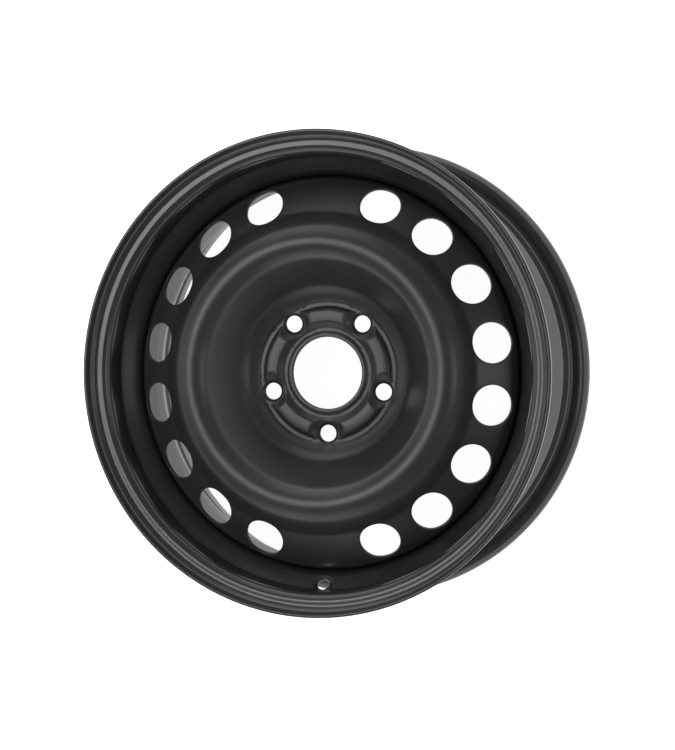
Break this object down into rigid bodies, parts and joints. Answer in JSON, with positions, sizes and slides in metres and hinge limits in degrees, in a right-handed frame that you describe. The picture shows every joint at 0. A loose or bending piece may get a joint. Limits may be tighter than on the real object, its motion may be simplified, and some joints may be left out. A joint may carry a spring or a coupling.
{
  "type": "steel wheel rim",
  "caption": "Black pressed-steel road wheel: rolled drop-centre rim with flanges, dished disc with round vent holes, bolt holes, centre bore and valve hole.",
  "frame": {"origin": "on the axle axis, at the plane of the inboard flange's lip, on which the wheel lies", "axes": "+Z along the axle axis to the outboard face, -Y to the valve hole, +X to the right of the picture"},
  "size_m": [0.4416, 0.4414, 0.1931],
  "materials": {
    "rim_paint": "satin black paint on rolled steel",
    "disc_paint": "satin black paint on pressed steel",
    "weld_paint": "satin black paint over rippled weld beads"
  },
  "bodies": {
    "root": {"rim": "rim_paint", "disc": "disc_paint", "weld_beads": "weld_paint"}
  },
  "joints": []
}
